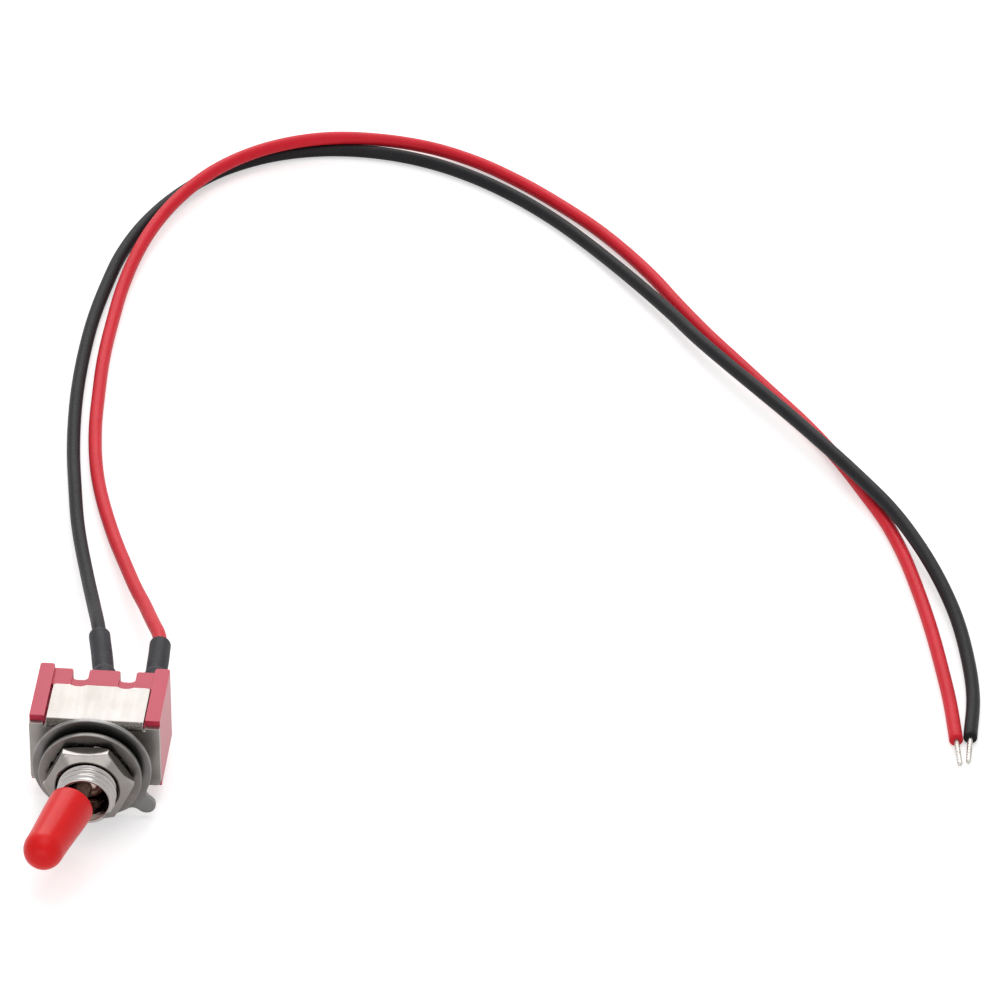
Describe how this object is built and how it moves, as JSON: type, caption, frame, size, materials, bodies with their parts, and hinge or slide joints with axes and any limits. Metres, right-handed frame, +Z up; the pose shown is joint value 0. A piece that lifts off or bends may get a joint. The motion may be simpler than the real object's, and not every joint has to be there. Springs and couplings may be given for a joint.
{
  "type": "panel toggle switch",
  "caption": "Sub-miniature panel toggle switch with a soft red lever cap, threaded bushing, keyed ring, washer and nut, and two soldered leads with tinned ends.",
  "frame": {"origin": "on the bushing's axis, at the front face of the frame's plate", "axes": "-Y points out of the bushing towards the lever, +Y towards the terminals, +X to the switched terminal's side, and +Z up from the surface that the switch lies on. The lever swings in the XY plane."},
  "size_m": [0.1004, 0.139, 0.012],
  "materials": {
    "frame_steel": "tinned and satin",
    "housing_plastic": "moulded, satin",
    "bushing_metal": "nickel plated",
    "pin_steel": "bright",
    "lever_metal": "nickel plated",
    "cap_vinyl": "soft dipped vinyl, glossy",
    "plunger_plastic": "moulded",
    "contact_brass": "rolled",
    "contact_silver": "silver, polished",
    "terminal_metal": "tinned brass",
    "washer_steel": "plated, with bright edges",
    "nut_metal": "nickel plated, polished",
    "solder": "dull",
    "sleeve_plastic": "heat shrunk, satin",
    "black_insulation": "satin",
    "red_insulation": "satin",
    "tinned_wire": "twisted strands, tinned"
  },
  "bodies": {
    "switch_body": {"frame_bracket": "frame_steel", "housing": "housing_plastic", "bushing": "bushing_metal", "pivot_pin": "pin_steel", "common_terminal": "terminal_metal", "switched_terminal": "terminal_metal", "fixed_contact": "contact_silver", "solder_common": "solder", "solder_switched": "solder", "sleeve_common": "sleeve_plastic", "sleeve_switched": "sleeve_plastic", "black_lead": "black_insulation", "red_lead": "red_insulation", "black_lead_tip": "tinned_wire", "red_lead_tip": "tinned_wire"},
    "lever": {"lever": "lever_metal", "lever_cap": "cap_vinyl", "plunger_spring": "pin_steel"},
    "plunger": {"plunger": "plunger_plastic"},
    "rocker": {"rocker_contact": "contact_brass", "moving_contact": "contact_silver"},
    "washers": {"keyed_ring": "washer_steel", "lock_washer": "washer_steel"},
    "nut": {"hex_nut": "nut_metal"}
  },
  "joints": [
    {"name": "lever_toggle", "type": "hinge", "parent": "switch_body", "child": "lever", "pos_m": [0, -0.0037, 0], "axis": [0, 0, 1], "range_deg": [0, 28]},
    {"name": "rocker_tilt", "type": "hinge", "parent": "switch_body", "child": "rocker", "pos_m": [0, 0.00545, 0], "axis": [0, 0, -1], "range_deg": [0, 14]},
    {"name": "plunger_slide", "type": "slide", "parent": "lever", "child": "plunger", "axis": [-0.2419, -0.9703, 0], "range_m": [0, 0.0005], "stiffness_N_per_m": 300, "deforming": ["plunger_spring"]},
    {"name": "washers_slide", "type": "slide", "parent": "switch_body", "child": "washers", "axis": [0, -1, 0], "range_m": [-0.002, 0.0019]},
    {"name": "nut_turn", "type": "hinge", "parent": "washers", "child": "nut", "pos_m": [0, -0.0045, 0], "axis": [0, -1, 0], "range_deg": [-961, 913]}
  ],
  "couplings": [
    {"joint": "rocker_tilt", "follows": "lever_toggle", "ratio": 0.5},
    {"joint": "nut_turn", "follows": "washers_slide", "rad_per_m": 8377.6}
  ]
}
